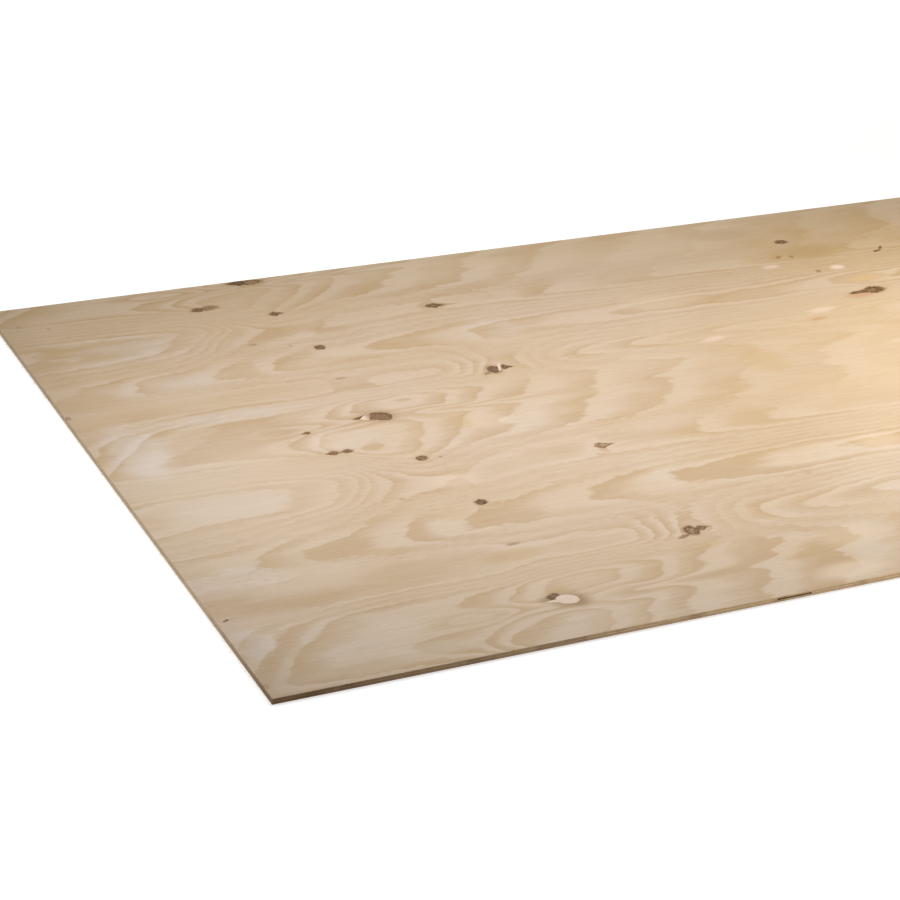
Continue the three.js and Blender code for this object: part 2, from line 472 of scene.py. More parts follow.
@dataclass(frozen=True)
class LogFigure:
    """The rings, knots and ripple that the knife met, as a shader group in millimetres.

    The log's girth shrank as it was peeled, so the turn grows a little faster across the sheet.
    With each turn the knife drifted down the trunk and cut deeper, into other rings.
    """

    turn_per_mm: float = 0.0015842
    turn_gain: float = 1.6244e-7
    girth: float = 575.0
    drift: float = 20.0
    rings_per_turn: float = 0.6
    run_span: Pair = (-60.0, 2440.0)
    ring_span: Pair = (-5.0, 15.0)
    # Near the left end the trunk was bent, and each run is met a little sooner in the turn.
    left_part: Pair = (400.0, 650.0)
    far_left_part: Pair = (300.0, 480.0)
    left_lead: float = 0.05
    # Where each run takes over from the last: the shares of a turn where that starts and where
    # it ends, each first away from the left part of the sheet and then in it.
    takeovers: tuple[tuple[Run, Pair, Pair], ...] = (
        (FAR_RIDGE, (0.015, 0.015), (0.215, 0.215)),
        (BROAD_SIDE, (0.225, 0.30), (0.40, 0.53)),
        (NEAR_RIDGE, (0.63, 0.70), (0.765, 0.80)),
        (DEEP_VALLEY, (0.775, 0.87), (0.985, 0.985)),
    )
    seam: Seam = Seam()
    # The wood's sway: how long and broad its waves are, and how far they push along and across.
    sways: tuple[tuple[Pair, Pair], ...] = (((220, 75), (16.0, 11.0)), ((60, 24), (3.0, 1.6)))
    knot_rim: Triple = (8.0, 5.0, 1.0)
    rim_waver: float = 0.9
    dip_fade: float = 0.6
    dip_depth: float = 1.4
    # The right-hand part of the sheet wanders more.
    wander_from: Pair = (1000.0, 1500.0)
    wander: float = 1.3

    def build(self) -> NodeTree:
        """Builds the group.

        Returns:
            A group that takes a place and gives the ring, how steeply the knife crossed the
            rings there, how dark a knot is, and how much resin stains the wood.
        """
        tree, entry = new_group(
            "peeled log",
            {"Place": "Vector"},
            {"Ring": "Float", "Steep": "Float", "Knot": "Float", "Stain": "Float"},
        )
        place = add(tree, Vec.MULTIPLY, entry["Place"], (1.0, 1.0, 0.0))
        x = add(tree, SPLIT, place, out="X")
        swayed = self.swayed(tree, place)
        swayed_x = add(tree, SPLIT, swayed, out="X")
        swayed_y = add(tree, SPLIT, swayed, out="Y")
        gain = add(tree, Sum.MULTIPLY_ADD, swayed_y, self.turn_gain, self.turn_per_mm)
        turn = add(tree, Sum.MULTIPLY, swayed_y, gain)
        left = add(tree, RANGE, x, *self.left_part, 1.0, 0.0, **SMOOTH)
        far_left = add(tree, RANGE, x, *self.far_left_part, 1.0, 0.0, **SMOOTH)
        led = add(tree, Sum.MULTIPLY_ADD, left, self.left_lead, turn)
        since = add(tree, Sum.SUBTRACT, led, DEEP_VALLEY.turn)
        phase = add(tree, Sum.FRACT, since)
        along = add(tree, Sum.MULTIPLY_ADD, turn, self.drift, swayed_x)

        ring = self.rings_on(tree, DEEP_VALLEY, along, phase)
        steep = None
        for run, start, end in self.takeovers:
            which = far_left if run is BROAD_SIDE else left
            starts = add(tree, MIX, which, *start)
            ends = add(tree, MIX, which, *end)
            share = add(tree, RANGE, phase, starts, ends, **SMOOTH)
            ring = add(tree, MIX, share, ring, self.rings_on(tree, run, along, phase))
            spare = add(tree, Sum.SUBTRACT, 1.0, share)
            slope = add(tree, Sum.MULTIPLY, share, spare)
            steep = slope if steep is None else add(tree, Sum.ADD, steep, slope)
        ring = add(tree, Sum.MULTIPLY_ADD, turn, self.rings_per_turn, ring)
        ring = self.seam.raised(tree, ring, along, phase, left)
        ring, dark, stain = self.knots(tree, place, ring)
        ring = self.rippled(tree, place, ring, steep)
        return close_group(tree, {"Ring": ring, "Steep": steep, "Knot": dark, "Stain": stain})

    def swayed(self, tree: NodeTree, place: NodeSocket) -> NodeSocket:
        """Bends the grain a little.

        Args:
            tree: the group.
            place: the place on the sheet.

        Returns:
            The place after the wood's sway.
        """
        for size, reach in self.sways:
            push = mottle(tree, place, (*size, 1.0), out="Push")
            most = (reach[0] * 2, reach[1] * 2, 0.0)
            place = add(tree, Vec.MULTIPLY_ADD, push, most, place)
        return place

    def rings_on(self, tree: NodeTree, run: Run, along: NodeSocket, phase: NodeSocket) -> NodeSocket:
        """Reads the rings off one run.

        Args:
            tree: the group.
            run: the run down the trunk.
            along: the place along the sheet.
            phase: the share of a turn since the deep valley.

        Returns:
            The ring that the run has there.
        """
        at = (run.turn - DEEP_VALLEY.turn) % 1.0
        lean = -run.lean * self.girth
        low, high = self.run_span
        shift = -lean * at - self.drift * run.turn - low
        leant = add(tree, Sum.MULTIPLY_ADD, phase, lean, along)
        share = add(tree, Sum.ADD, leant, shift)
        share = add(tree, Sum.DIVIDE, share, high - low, use_clamp=True)
        base, top = self.ring_span
        curve = add(tree, "ShaderNodeFloatCurve", 1.0, share)
        points = curve.node.mapping.curves[0].points
        while len(points) < len(run.rings):
            points.new(0.5, 0.5)
        for point, (x, ring) in zip(points, run.rings):
            point.location = ((x - low) / (high - low), (ring - base) / (top - base))
            point.handle_type = "AUTO_CLAMPED"
        curve.node.mapping.update()
        offset = base - self.rings_per_turn * run.turn
        return add(tree, Sum.MULTIPLY_ADD, curve, top - base, offset)

    def knots(
        self, tree: NodeTree, place: NodeSocket, ring: NodeSocket
    ) -> tuple[NodeSocket, NodeSocket, NodeSocket]:
        """Bends the rings round every knot and says how dark and how stained the wood is.

        Args:
            tree: the group.
            place: the place on the sheet.
            ring: the ring so far.

        Returns:
            The bent ring, and the darkness and the stain from 0 to 1.
        """
        rough = mottle(tree, place, self.knot_rim, 2.0)
        waver = add(tree, Sum.MULTIPLY_ADD, rough, self.rim_waver, -self.rim_waver / 2)
        spot = add(tree, Vec.ADD, place, (0.0, 0.0, 1.0))
        dark = stain = None
        for knot in KNOTS:
            u, v = knot.ways(tree, spot)
            strength = 1.0
            if knot.tail:
                u, v, strength = knot.drawn_out(tree, u, v)
            reach = add(tree, Vec.LENGTH, add(tree, JOIN, u, v))
            if knot.dip:
                fade = add(tree, Sum.MULTIPLY, reach, -self.dip_fade)
                bell = add(tree, Sum.EXPONENT, fade)
                ring = add(tree, Sum.MULTIPLY_ADD, bell, -knot.dip * self.dip_depth, ring)
            if not knot.dark:
                continue
            rim = add(tree, Sum.ADD, reach, waver)
            shade = add(tree, RANGE, rim, 0.2, 0.9, knot.dark - knot.heart, knot.dark, **SMOOTH)
            cover = add(tree, RANGE, rim, 1.3, 0.7, 0.0, strength, **SMOOTH)
            shade = add(tree, Sum.MULTIPLY, shade, cover)
            dark = shade if dark is None else add(tree, Sum.MAXIMUM, dark, shade)
            near = add(tree, RANGE, reach, 2.0, 0.8, 0.0, knot.halo, **SMOOTH)
            stain = near if stain is None else add(tree, Sum.MAXIMUM, stain, near)
        return ring, dark, stain

    def rippled(
        self, tree: NodeTree, place: NodeSocket, ring: NodeSocket, steep: NodeSocket
    ) -> NodeSocket:
        """Ripples the rings in waves of several sizes, and feathers them along the grain.

        Args:
            tree: the group.
            place: the place on the sheet.
            ring: the ring so far.
            steep: how steeply the knife crossed the rings, where they curl the most.

        Returns:
            The rippled ring.
        """
        x = add(tree, SPLIT, place, out="X")
        wander = add(tree, RANGE, x, *self.wander_from, 0.0, self.wander, **SMOOTH)
        curl = add(tree, Sum.MULTIPLY_ADD, steep, 3.0, 0.08)
        waves = (
            ((330, 120), wander),
            ((160, 50), 0.40),
            ((60, 20), 0.30),
            ((17, 7), curl),
            ((45, 2.6), 0.07),
        )
        for size, height in waves:
            noise = mottle(tree, place, (*size, 1.0))
            even = add(tree, Sum.SUBTRACT, noise, 0.5)
            ring = add(tree, Sum.MULTIPLY_ADD, even, height, ring)
        return ring


# ---------------------------------------------------------------- finishes


class Grain(Enum):
    """Which way a veneer's fibres run."""

    ALONG = "along the sheet"
    ACROSS = "across the sheet"


@dataclass(frozen=True)
class Blotches:
    """Random blotches of one colour.

    They begin at the first value of the span, from 0 to 1, and are full at the second. The way
    they are laid is MIX, or MULTIPLY for a shade.
    """

    colour: str
    cell: Triple
    span: Pair
    detail: float = 0.0
    cover: float = 1.0
    way: str = "MIX"

    def share(self, tree: NodeTree, place: NodeSocket) -> NodeSocket:
        """Says how much of the colour a place gets."""
        pattern = mottle(tree, place, self.cell, self.detail)
        return add(tree, RANGE, pattern, *self.span, 0.0, self.cover)

    def laid_on(self, tree: NodeTree, place: NodeSocket, wood: NodeSocket | str) -> NodeSocket:
        """Lays the blotches on a colour."""
        share = self.share(tree, place)
        return add(tree, MIX, share, wood, self.colour, data_type="RGBA", blend_type=self.way)


@dataclass(frozen=True)
class Mark(Oval):
    """A stain or a pale spot on the face, strongest in its middle."""

    colour: str
    cover: float = 0.6

    def laid_on(self, tree: NodeTree, spot: NodeSocket, wood: NodeSocket) -> NodeSocket:
        """Lays the mark on the wood.

        Args:
            tree: the material's tree.
            spot: the place on the veneer, with 1 for its height.
            wood: the colour so far.

        Returns:
            The colour with the mark.
        """
        share = add(tree, RANGE, self.reach(tree, spot), 1.2, 0.4, 0.0, self.cover, **SMOOTH)
        return add(tree, MIX, share, wood, self.colour, **BLEND)


RESIN = "#b08d62"
PALE_PINK = "#ecd3c0"
OLIVE = "#c8ae7c"
REDDISH = "#c08a66"

# A dull bloom and a pale streak on top of one knot.
KNOT_MARKS = (
    Mark(708, 774, 17, 17, "#6f5c56", 0.4),
    Mark(723, 778, 36, 6, "#ecd3c8", 0.9, slant=66),
)

MARKS = (
    Mark(0, 960, 130, 640, "#bda383", 0.35),
    Mark(0, 60, 130, 240, "#bda383", 0.3),
    Mark(1030, 590, 440, 380, "#c8b095", 0.3),
    Mark(160, 510, 360, 430, "#f0e0cf", 0.18),
    Mark(482, 90, 66, 44, "#9c845e", 0.42, slant=-13),
    Mark(490, 86, 40, 32, "#8a714f", 0.42, slant=-13),
    Mark(455, 99, 44, 22, "#8f7653", 0.5, slant=-8),
    Mark(355, 625, 95, 52, PALE_PINK, 0.25),
    Mark(1390, 1001, 40, 19, "#efd4cc", 0.6, slant=4),
    Mark(1510, 965, 36, 21, "#f4d9d2", 0.8, slant=4),
    Mark(1375, 813, 70, 22, "#ecd2c6", 0.5, slant=5),
    Mark(1125, 766, 60, 20, "#ead0c6", 0.5, slant=10),
    Mark(1350, 783, 40, 12, REDDISH, 0.5, slant=8),
    Mark(1484, 848, 80, 30, REDDISH, 0.5, slant=4),
    Mark(1500, 1040, 120, 56, "#b99c6c", 0.6),
    Mark(1080, 1180, 1100, 190, "#efd9bb", 0.26),
    Mark(1620, 1090, 460, 240, "#c2a37a", 0.22),
    Mark(1530, 908, 96, 28, "#dcb787", 0.5),
    Mark(150, 262, 240, 90, "#dfcbb8", 0.5),
    Mark(247, 38, 150, 44, "#d9c8b6", 0.4),
    Mark(482, 453, 90, 50, "#e3cdb8", 0.45),
    Mark(622, 613, 80, 60, "#e3cdb8", 0.45),
    Mark(885, 520, 160, 60, "#d8c4b4", 0.4),
    Mark(963, 116, 120, 70, "#e2ccb2", 0.4),
    Mark(905, 30, 130, 50, "#e6d2bd", 0.65),
    Mark(1120, 926, 210, 60, "#dec8b1", 0.4),
    Mark(1185, 359, 90, 60, "#e6d0b9", 0.4),
    Mark(465, 226, 120, 38, "#c3a272", 0.5),
    Mark(1166, 668, 90, 110, "#c4a577", 0.45),
    Mark(435, 357, 70, 44, "#c9ab80", 0.3),
    Mark(1378, 1157, 150, 60, "#b89a72", 0.35),
    Mark(480, 121, 34, 14, OLIVE, 0.6),
    Mark(750, 160, 60, 26, OLIVE, 0.35, slant=5),
    Mark(580, 618, 34, 40, OLIVE, 0.4),
    Mark(292, 640, 20, 5, OLIVE, 0.4, slant=60),
    Mark(470, 548, 42, 40, OLIVE, 0.3),
    Mark(428, 681, 26, 12, "#8b6c4a", 0.7),
)

# The fine splits of the back, where the veneer bent away from the log.
CHECKS = Blotches("#8a6c4c", (55.0, 0.9, 1.0), (0.68, 0.74), 1.0, 0.6)


class Look(Enum):
    """What is different about a field of the face."""

    RICH = "its late wood is darker"
    LATE = "late wood lies under the whole of it"
    PALE = "its early wood is paler"
    CALM = "its rings hardly show"
    WARM = "its wood is yellower"


@dataclass(frozen=True)
class Field(Oval):
    """An oval field of the face that looks different.

    Its share is how different it looks, and its edge is how softly that fades out.
    """

    share: float
    edge: float = 0.4


FIELDS = {
    look: tuple(Field(*row) for row in rows)
    for look, rows in {
        Look.RICH: (
            (195, 680, 230, 120, 0.55), (500, 342, 180, 80, 0.8), (915, 355, 190, 60, 0.9),
            (240, 327, 130, 50, 0.5), (810, 930, 160, 40, 0.6), (800, 90, 420, 180, 0.5),
            (420, 540, 300, 200, 0.3), (900, 650, 200, 100, 0.5), (1250, 925, 300, 60, 0.1),
            (1190, 365, 110, 60, 0.7), (710, 368, 110, 50, 0.5),
        ),
        Look.LATE: (
            (205, 682, 215, 95, 0.75, 0.2), (250, 1012, 70, 36, 0.5), (45, 860, 120, 60, 0.7, 0.25),
            (72, 105, 36, 100, 0.6, 0.3), (150, 30, 280, 22, 0.6, 0.3), (160, 312, 100, 50, 0.4, 0.3),
            (280, 800, 420, 46, 0.35), (1500, 1042, 150, 68, 0.9, 0.2),
            (1530, 908, 110, 34, 0.8, 0.2),
        ),
        Look.PALE: (
            (65, 680, 90, 170, 1.4), (215, 750, 280, 36, 1.1, 0.6), (155, 1022, 250, 86, 0.9, 0.7),
            (190, 878, 280, 66, 0.55, 0.7), (28, 125, 60, 80, 1.2), (485, 46, 80, 26, 0.5, 0.6),
            (150, 105, 210, 120, 0.3), (60, 285, 200, 70, 0.7), (140, 478, 210, 70, 0.5),
            (370, 625, 130, 80, 0.45), (795, 370, 70, 80, 0.5, 0.7), (830, 415, 160, 60, 0.4),
            (780, 915, 110, 90, 0.7), (690, 600, 140, 130, 0.3), (990, 715, 130, 100, 0.5),
            (930, 180, 150, 90, 0.3), (1160, 270, 260, 240, 0.6), (1010, 90, 140, 160, 0.6),
        ),
        Look.CALM: (
            (805, 800, 90, 120, 0.7), (815, 215, 90, 120, 0.6), (320, 488, 180, 170, 0.6),
            (240, 480, 90, 110, 0.5), (310, 1050, 170, 170, 0.6), (320, 92, 130, 60, 0.7),
            (380, 812, 300, 56, 0.65), (590, 805, 210, 110, 0.55), (560, 1030, 150, 80, 0.5),
            (420, 1140, 180, 120, 0.5), (560, 465, 170, 90, 0.5), (620, 225, 130, 60, 0.4),
            (1330, 680, 640, 460, 0.55), (640, 740, 620, 420, 0.25, 0.6), (120, 480, 200, 160, 0.3),
            (1190, 1100, 560, 180, 0.6), (1600, 1150, 380, 140, 0.5),
        ),
        Look.WARM: (
            (250, 1130, 1000, 300, 1.0), (150, 850, 520, 300, 0.8), (1000, 1190, 700, 90, 0.9),
            (420, 150, 900, 190, 0.5), (1560, 1080, 500, 320, 1.0),
        ),
    }.items()
}


def place_in_mm(tree: NodeTree) -> NodeSocket:
    """Measures the place in millimetres.

    Args:
        tree: the material's tree.

    Returns:
        The place from the left end, the front edge and the underside.
    """
    spot = add(tree, "ShaderNodeTexCoord", out="Object")
    scaled = add(tree, Vec.MULTIPLY, spot, (1 / MM,) * 3)
    return add(tree, Vec.ADD, scaled, (LENGTH_MM / 2, WIDTH_MM / 2, 0.0))


def new_material(name: str) -> tuple[Material, NodeTree, dict[str, NodeSocket]]:
    """Starts a material.

    Args:
        name: what the finish is called.

    Returns:
        The material, its tree, and the inputs of its shader by name.
    """
    material = bpy.data.materials.new(name)
    material.use_nodes = True
    tree = material.node_tree
    shader = next(n for n in tree.nodes if n.type == "BSDF_PRINCIPLED")
    return material, tree, {s.name: s for s in shader.inputs}


def relieve(
    tree: NodeTree, shader: dict[str, NodeSocket], height: NodeSocket, depth_mm: float
) -> None:
    """Gives a surface a fine relief.

    Args:
        tree: the material's tree.
        shader: the inputs of its shader.
        height: the pattern that stands up, from 0 to 1.
        depth_mm: how high the pattern stands at 1, in millimetres.
    """
    bump = add(tree, "ShaderNodeBump").node
    bump.inputs["Distance"].default_value = depth_mm * MM
    tree.links.new(height, bump.inputs["Height"])
    tree.links.new(bump.outputs["Normal"], shader["Normal"])


def facing_group() -> NodeTree:
    """Builds the group that tells a veneer's sides by the way they face.

    Returns:
        The group.
    """
    tree, _ = new_group("facing", {}, {"Side": "Float", "Short End": "Float"})
    normal = add(tree, "ShaderNodeNewGeometry", out="True Normal")
    size = add(tree, Vec.ABSOLUTE, normal)
    x = add(tree, SPLIT, size, out="X")
    z = add(tree, SPLIT, size, out="Z")
    side = add(tree, RANGE, z, 0.3, 0.7, 1.0, 0.0)
    return close_group(tree, {"Side": side, "Short End": add(tree, RANGE, x, 0.3, 0.7)})


def facing(tree: NodeTree, which: str) -> NodeSocket:
    """Tells the sides from the flats (Side), or the ends from the long edges (Short End)."""
    group = bpy.data.node_groups.get("facing") or facing_group()
    return add(tree, GROUP, node_tree=group, out=which)


@dataclass(frozen=True)
class SawnEdge:
    """The sides of a veneer, cut by a circular saw.

    The blade crosses the fibres on two of the sheet's sides and runs beside them on the other
    two. Cut ends drink the light and look dark and speckled, and long grain looks streaked. Glue
    that soaked in shows as a brown line above and below, and the blade scorched it in patches.
    """

    grain: Grain
    end_light: str = "#bfa481"
    end_dark: str = "#967a59"
    long_light: str = "#d6be9e"
    glue: str = "#86694a"
    corner_darkening: str = "#ab9f8e"
    dust: str = "#d0bda4"
    # The year rings cross a veneer nearly level, about a millimetre apart. The pores between
    # them are a tenth of that, and are drawn half a millimetre wide so that they show.
    rings_per_mm: float = 0.9
    bow_cell: Triple = (40.0, 40.0, 4.0)
    bow_rings: float = 4.0
    pore_cell: Triple = (0.6, 0.6, 0.5)
    pore_share: float = 0.8
    long_fibres: Blotches = Blotches("#b89c76", (24.0, 24.0, 0.35), (0.35, 0.65), 2.0)
    glue_soak: Pair = (0.05, 0.35)
    scorch: Blotches = Blotches("#6d5338", (34.0, 34.0, 14.0), (0.48, 0.66), 3.0, 0.35)
    # Dust from the saw still clings to the short ends.
    dust_cover: float = 0.45
    # The sides darken towards the near left corner. The darkening reaches further along the sheet
    # than across it.
    corner_darkening_reach: float = 600.0
    corner_darkening_slimness: float = 2.5
    # The blade's teeth leave upright lines, about a millimetre apart.
    teeth: Blotches = Blotches("#ebe6e0", (1.3, 1.3, 40.0), (0.3, 0.7), 1.0, way="MULTIPLY")

    def colour(self, tree: NodeTree, place: NodeSocket, node: str) -> NodeSocket:
        """Works out the colour of a veneer's sides.

        Args:
            tree: the material's tree.
            place: the place on the sheet, in millimetres.
            node: the veneer, whose levels the glue lines follow.

        Returns:
            The colour.
        """
        level = add(tree, SPLIT, place, out="Z")
        bow = mottle(tree, place, self.bow_cell, 1.0)
        ring = add(tree, Sum.MULTIPLY, bow, self.bow_rings)
        ring = add(tree, Sum.MULTIPLY_ADD, level, self.rings_per_mm, ring)
        ring = add(tree, Sum.FRACT, ring)
        ring = add(tree, RANGE, ring, 0.3, 0.95, **SMOOTH)
        pores = mottle(tree, place, self.pore_cell, 1.0)
        speck = add(tree, Sum.MULTIPLY_ADD, pores, self.pore_share, -self.pore_share / 2)
        share = add(tree, Sum.MULTIPLY_ADD, ring, 0.7, speck, use_clamp=True)
        end = add(tree, MIX, share, self.end_light, self.end_dark, **BLEND)
        long = self.long_fibres.laid_on(tree, place, self.long_light)
        short_end = facing(tree, "Short End")
        first, second = (long, end) if self.grain is Grain.ALONG else (end, long)
        wood = add(tree, MIX, short_end, first, second, **BLEND)

        low, high = (corner.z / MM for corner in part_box(node))
        above = add(tree, Sum.SUBTRACT, level, low)
        below = add(tree, Sum.SUBTRACT, high, level)
        near = add(tree, Sum.MINIMUM, above, below)
        soaked = add(tree, RANGE, near, *self.glue_soak, 0.6, 0.0)
        wood = add(tree, MIX, soaked, wood, self.glue, **BLEND)
        wood = self.scorch.laid_on(tree, place, wood)
        dusty = add(tree, Sum.MULTIPLY, short_end, self.dust_cover)
        wood = add(tree, MIX, dusty, wood, self.dust, **BLEND)
        # Darkens the sides towards the near left corner, further along the sheet than across it.
        corner = add(tree, Vec.MULTIPLY, place, (1.0, self.corner_darkening_slimness, 0.0))
        reach = add(tree, Vec.LENGTH, corner)
        toward_corner = add(tree, RANGE, reach, 0.0, self.corner_darkening_reach, 1.0, 0.0)
        wood = add(tree, MIX, toward_corner, wood, self.corner_darkening, **SHADE)
        return self.teeth.laid_on(tree, place, wood)


@dataclass(frozen=True)
class PeeledPine:
    """Pine veneer, peeled from the log on a lathe.

    Peeling cuts the rings almost flat, so the soft early wood shows as broad pale fields, and the
    hard late wood as tan flames with one sharp edge. The face is sanded matt. The back is left as
    the knife made it, with fine splits that opened as the veneer bent away from the log.
    """

    name: str
    node: str
    splits: Blotches | None = None
    turned_over: bool = False
    marks: tuple[Mark, ...] = ()
    knot_marks: tuple[Mark, ...] = ()
    early: str = "#dcc8b4"
    early_warm: str = "#dac4a9"
    early_pale: str = "#dfd0c3"
    late: str = "#ccb395"
    late_warm: str = "#cbae86"
    resin: str = RESIN
    knot_brown: str = "#95744f"
    knot_dark: str = "#503926"
    fibre_shade: str = "#f5f2ee"
    fibre_cell: Triple = (75.0, 2.6, 2.6)
    hairs: Blotches = Blotches("#f7f5f2", (20.0, 0.8, 1.0), (0.25, 0.75), 1.0, way="MULTIPLY")
    # Resin canals are a tenth of a millimetre wide, and are drawn half a millimetre wide.
    canals: Blotches = Blotches(RESIN, (13.0, 0.7, 1.0), (0.70, 0.82), cover=0.3)
    resin_cell: Triple = (26.0, 7.0, 1.0)
    speck_cell: Triple = (5.0, 3.2, 1.0)
    crack_cell: Triple = (5.0, 3.5, 1.0)
    warm_cell: Triple = (420.0, 170.0, 1.0)
    ragged_cell: Triple = (70.0, 18.0, 1.0)
    ragged_by: Triple = (60.0, 20.0, 0.0)
    back_shift: float = 230.0
    gloss: Pair = (0.58, 0.7)
    relief: float = 0.12
    # Shares of a ring: where its late wood starts, is nearly dark, and ends.
    late_start: float = 0.2
    late_full: float = 0.6
    late_end: float = 0.88
    # Its depth varies in broad and in narrower patches, each with the least share that it keeps.
    late_cells: tuple[tuple[Triple, float], ...] = (((380.0, 130.0, 1.0), 0.75), ((95.0, 40.0, 1.0), 0.8))
    late_most: float = 1.15
    # How much late wood shows where the rings are crossed so steeply that they run together.
    crossed_late: float = 0.3
    calm_late: float = 0.34
    under_late: float = 0.76

    def material(self, figure: NodeTree) -> Material:
        """Makes the material.

        Args:
            figure: the log's figure group.

        Returns:
            The material for the veneer.
        """
        material, tree, shader = new_material(self.name)
        place = place_in_mm(tree)
        spot = place
        if self.turned_over:
            far_corner = (LENGTH_MM, WIDTH_MM + self.back_shift, 0.0)
            spot = add(tree, Vec.MULTIPLY_ADD, place, (-1.0, -1.0, 1.0), far_corner)
        group = add(tree, GROUP, node_tree=figure).node
        tree.links.new(spot, group.inputs["Place"])
        late = self.late_share(tree, spot, group.outputs["Ring"], group.outputs["Steep"])
        fibre = mottle(tree, spot, self.fibre_cell, 3.0)
        flat = add(tree, Vec.MULTIPLY_ADD, spot, (1.0, 1.0, 0.0), (0.0, 0.0, 1.0))
        shares = self.fields(tree, flat)
        wood = self.wood(tree, spot, late, shares, fibre)
        for mark in self.marks:
            wood = mark.laid_on(tree, flat, wood)
        wood = self.stained(tree, spot, wood, group.outputs["Stain"])
        dark = self.checked(tree, spot, group.outputs["Knot"])
        height = fibre
        if self.splits:
            open_split = self.splits.share(tree, spot)
            wood = add(tree, MIX, open_split, wood, self.splits.colour, **BLEND)
            height = add(tree, Sum.SUBTRACT, height, open_split)
        brown = add(tree, RANGE, dark, 0.0, 0.5)
        black = add(tree, RANGE, dark, 0.4, 1.0)
        wood = add(tree, MIX, brown, wood, self.knot_brown, **BLEND)
        wood = add(tree, MIX, black, wood, self.knot_dark, **BLEND)
        for mark in self.knot_marks:
            wood = mark.laid_on(tree, flat, wood)
        side = facing(tree, "Side")
        edge = SawnEdge(Grain.ALONG).colour(tree, place, self.node)
        rim = add(tree, RANGE, dark, 0.02, 0.15, 0.0, 0.8)
        edge = add(tree, MIX, rim, edge, self.knot_brown, **BLEND)
        wood = add(tree, MIX, side, wood, edge, **BLEND)
        tree.links.new(wood, shader["Base Color"])
        gloss = add(tree, RANGE, fibre, 0.3, 0.7, *self.gloss)
        tree.links.new(gloss, shader["Roughness"])
        relieve(tree, shader, height, self.relief)
        return material

    def late_share(
        self, tree: NodeTree, spot: NodeSocket, ring: NodeSocket, steep: NodeSocket
    ) -> NodeSocket:
        """Works out how much late wood shows.

        Args:
            tree: the material's tree.
            spot: the place on the veneer.
            ring: the ring that the knife met.
            steep: how steeply it crossed the rings.

        Returns:
            The share, from 0 in early wood to 1 in late wood.
        """
        part = add(tree, Sum.FRACT, ring)
        # Late wood darkens slowly and then ends at a sharp edge, where it is darkest.
        rise = add(tree, RANGE, part, self.late_start, self.late_full, 0.0, 0.7, **SMOOTH)
        edge = add(tree, RANGE, part, self.late_full, self.late_end, 0.0, 0.4, **SMOOTH)
        close = add(tree, RANGE, part, self.late_end, 1.0, 1.0, 0.0, **SMOOTH)
        late = add(tree, Sum.ADD, rise, edge)
        late = add(tree, Sum.MULTIPLY, late, close)
        crossed = add(tree, RANGE, steep, 0.05, 0.22, **SMOOTH)
        keep = add(tree, Sum.MULTIPLY_ADD, crossed, self.crossed_late - 1.0, 1.0)
        late = add(tree, Sum.MULTIPLY, late, keep)
        late = add(tree, Sum.MULTIPLY_ADD, crossed, self.crossed_late, late)
        for cell, least in self.late_cells:
            depth = mottle(tree, spot, cell)
            depth = add(tree, RANGE, depth, 0.36, 0.62, least, self.late_most)
            late = add(tree, Sum.MULTIPLY, late, depth)
        return late

    def fields(self, tree: NodeTree, flat: NodeSocket) -> dict[Look, NodeSocket]:
        """Says how far a place lies in the fields of each look.

        Args:
            tree: the material's tree.
            flat: the place on the veneer, with 1 for its height.

        Returns:
            The share for each look, from 0 to 1.
        """
        shares = {}
        push = mottle(tree, flat, self.ragged_cell, 2.0, out="Push")
        ragged = add(tree, Vec.MULTIPLY_ADD, push, self.ragged_by, flat)
        for look, areas in FIELDS.items():
            for area in areas:
                near, far = 0.95 + area.edge, 0.95 - area.edge
                reach = area.reach(tree, ragged)
                share = add(tree, RANGE, reach, near, far, 0.0, area.share, **SMOOTH)
                if look in shares:
                    share = add(tree, Sum.MAXIMUM, shares[look], share)
                shares[look] = share
        return shares

    def wood(
        self,
        tree: NodeTree,
        spot: NodeSocket,
        late: NodeSocket,
        shares: dict[Look, NodeSocket],
        fibre: NodeSocket,
    ) -> NodeSocket:
        """Colours the plain wood.

        Args:
            tree: the material's tree.
            spot: the place on the veneer.
            late: the share of late wood.
            shares: how far the place lies in the fields of each look.
            fibre: the pattern of the fibres.

        Returns:
            The colour.
        """
        gain = add(tree, Sum.MULTIPLY_ADD, shares[Look.RICH], 0.5, 1.0)
        late = add(tree, Sum.MULTIPLY, late, gain)
        keep = add(tree, Sum.MULTIPLY_ADD, shares[Look.PALE], -0.4, 1.0)
        late = add(tree, Sum.MULTIPLY, late, keep)
        late = add(tree, MIX, shares[Look.CALM], late, self.calm_late)
        late = add(tree, MIX, shares[Look.LATE], late, self.under_late)
        patch = mottle(tree, spot, self.warm_cell, 2.0)
        warm = add(tree, RANGE, patch, 0.36, 0.62, 0.0, 0.6, **SMOOTH)
        warm = add(tree, Sum.MAXIMUM, warm, shares[Look.WARM])
        early_colour = add(tree, MIX, warm, self.early, self.early_warm, **BLEND)
        early_colour = add(tree, MIX, shares[Look.PALE], early_colour, self.early_pale, **BLEND)
        late_colour = add(tree, MIX, warm, self.late, self.late_warm, **BLEND)
        wood = add(tree, MIX, late, early_colour, late_colour, **BLEND)
        wood = self.canals.laid_on(tree, spot, wood)
        grooved = add(tree, RANGE, fibre, 0.25, 0.75)
        wood = add(tree, MIX, grooved, wood, self.fibre_shade, **SHADE)
        return self.hairs.laid_on(tree, spot, wood)

